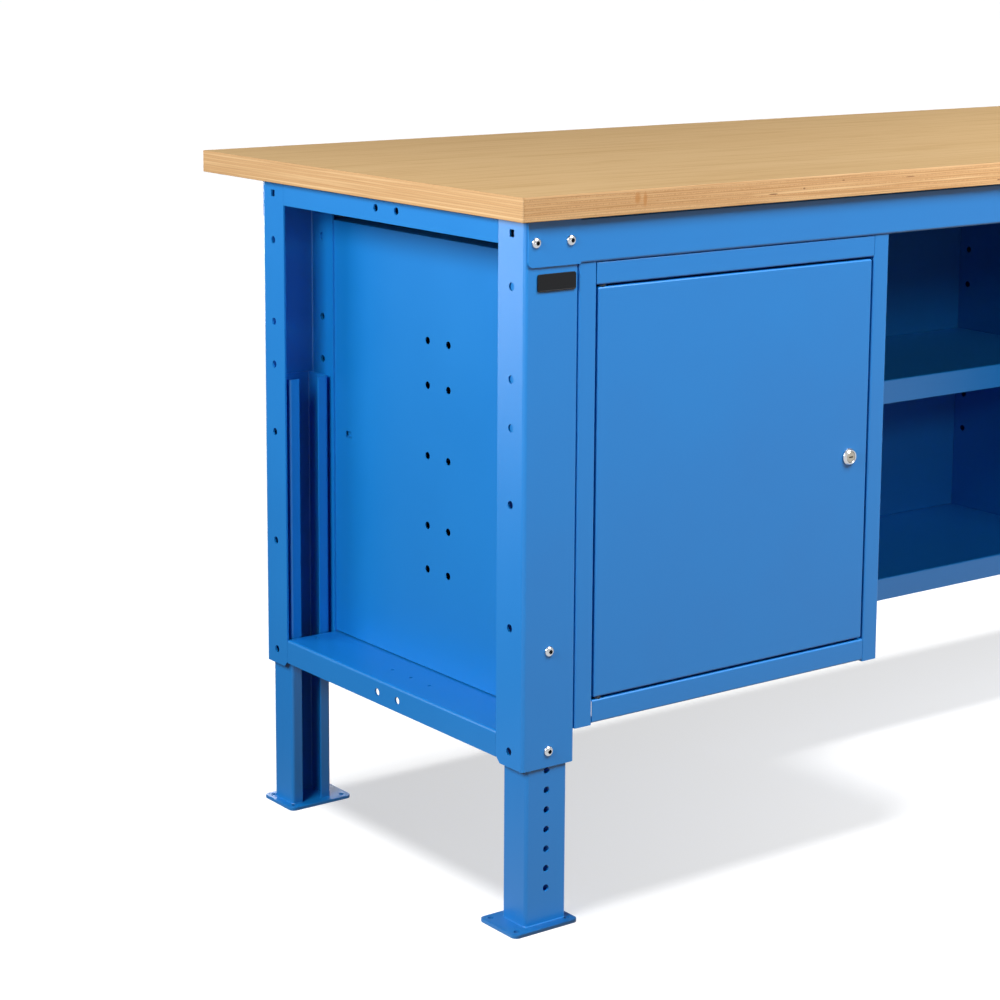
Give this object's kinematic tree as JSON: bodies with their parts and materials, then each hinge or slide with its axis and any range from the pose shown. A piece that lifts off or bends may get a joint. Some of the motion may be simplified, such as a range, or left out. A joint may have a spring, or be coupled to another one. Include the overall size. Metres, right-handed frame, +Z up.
{
  "type": "workbench with cabinet doors",
  "caption": "Steel workbench with a plywood top, height-adjustable legs, a lockable cabinet with a hinged door at each end, and an open bay with half-depth shelves.",
  "frame": {"origin": "on the floor, under the middle of the worktop", "axes": "+X along the bench to the right as seen from the front, -Y towards the front and the doors, +Z up"},
  "size_m": [2.01, 0.75, 0.915],
  "materials": {
    "blue_paint": "satin powder coat, light blue",
    "plywood": "clear-lacquered birch or beech plywood, layered edges",
    "bright_zinc": "bright zinc and nickel plate",
    "black_plate": "black, blank"
  },
  "bodies": {
    "frame": {"bay_back_panel": "blue_paint", "bay_lower_shelf": "blue_paint", "bay_upper_shelf": "blue_paint", "blank_name_plate": "black_plate", "front_rail": "blue_paint", "left_bottom_side_rail": "blue_paint", "left_cabinet_back": "blue_paint", "left_cabinet_floor": "blue_paint", "left_cabinet_inner_side": "blue_paint", "left_cabinet_outer_side": "blue_paint", "left_cabinet_shelf": "blue_paint", "left_cabinet_top": "blue_paint", "left_front_inner_rail_screw": "bright_zinc", "left_front_lower_leg_screw": "bright_zinc", "left_front_outer_rail_screw": "bright_zinc", "left_front_post": "blue_paint", "left_front_upper_leg_screw": "bright_zinc", "left_rear_post": "blue_paint", "left_top_side_rail": "blue_paint", "rear_rail": "blue_paint", "right_bottom_side_rail": "blue_paint", "right_cabinet_back": "blue_paint", "right_cabinet_floor": "blue_paint", "right_cabinet_inner_side": "blue_paint", "right_cabinet_outer_side": "blue_paint", "right_cabinet_shelf": "blue_paint", "right_cabinet_top": "blue_paint", "right_front_inner_rail_screw": "bright_zinc", "right_front_lower_leg_screw": "bright_zinc", "right_front_outer_rail_screw": "bright_zinc", "right_front_post": "blue_paint", "right_front_upper_leg_screw": "bright_zinc", "right_rear_post": "blue_paint", "right_top_side_rail": "blue_paint", "worktop": "plywood"},
    "left_door": {"left_door_panel": "blue_paint", "left_door_stiffener": "blue_paint", "left_upper_hinge_pin": "bright_zinc", "left_lower_hinge_pin": "bright_zinc", "left_lock_body": "bright_zinc", "left_lock_nut": "bright_zinc"},
    "left_lock": {"left_lock_plug": "bright_zinc", "left_lock_cam": "bright_zinc"},
    "right_door": {"right_door_panel": "blue_paint", "right_door_stiffener": "blue_paint", "right_upper_hinge_pin": "bright_zinc", "right_lower_hinge_pin": "bright_zinc", "right_lock_body": "bright_zinc", "right_lock_nut": "bright_zinc"},
    "right_lock": {"right_lock_plug": "bright_zinc", "right_lock_cam": "bright_zinc"},
    "left_front_leg": {"left_front_leg": "blue_paint", "left_front_foot_plate": "blue_paint"},
    "right_front_leg": {"right_front_leg": "blue_paint", "right_front_foot_plate": "blue_paint"},
    "left_rear_leg": {"left_rear_leg": "blue_paint", "left_rear_foot_plate": "blue_paint"},
    "right_rear_leg": {"right_rear_leg": "blue_paint", "right_rear_foot_plate": "blue_paint"}
  },
  "joints": [
    {"name": "left_door_hinge", "type": "hinge", "parent": "frame", "child": "left_door", "pos_m": [-0.8672, -0.357, 0.5403], "axis": [0, 0, -1], "range_deg": [0, 110]},
    {"name": "left_lock_turn", "type": "hinge", "parent": "left_door", "child": "left_lock", "pos_m": [-0.4475, -0.363, 0.5363], "axis": [0, -1, 0], "range_deg": [0, 90]},
    {"name": "right_door_hinge", "type": "hinge", "parent": "frame", "child": "right_door", "pos_m": [0.8672, -0.357, 0.5403], "axis": [0, 0, 1], "range_deg": [0, 110]},
    {"name": "right_lock_turn", "type": "hinge", "parent": "right_door", "child": "right_lock", "pos_m": [0.4475, -0.363, 0.5363], "axis": [0, 1, 0], "range_deg": [0, 90]},
    {"name": "left_front_leg_slide", "type": "slide", "parent": "frame", "child": "left_front_leg", "axis": [0, 0, -1], "range_m": [-0.1778, 0.2286]},
    {"name": "right_front_leg_slide", "type": "slide", "parent": "frame", "child": "right_front_leg", "axis": [0, 0, -1], "range_m": [-0.1778, 0.2286]},
    {"name": "left_rear_leg_slide", "type": "slide", "parent": "frame", "child": "left_rear_leg", "axis": [0, 0, -1], "range_m": [-0.1778, 0.2286]},
    {"name": "right_rear_leg_slide", "type": "slide", "parent": "frame", "child": "right_rear_leg", "axis": [0, 0, -1], "range_m": [-0.1778, 0.2286]}
  ]
}
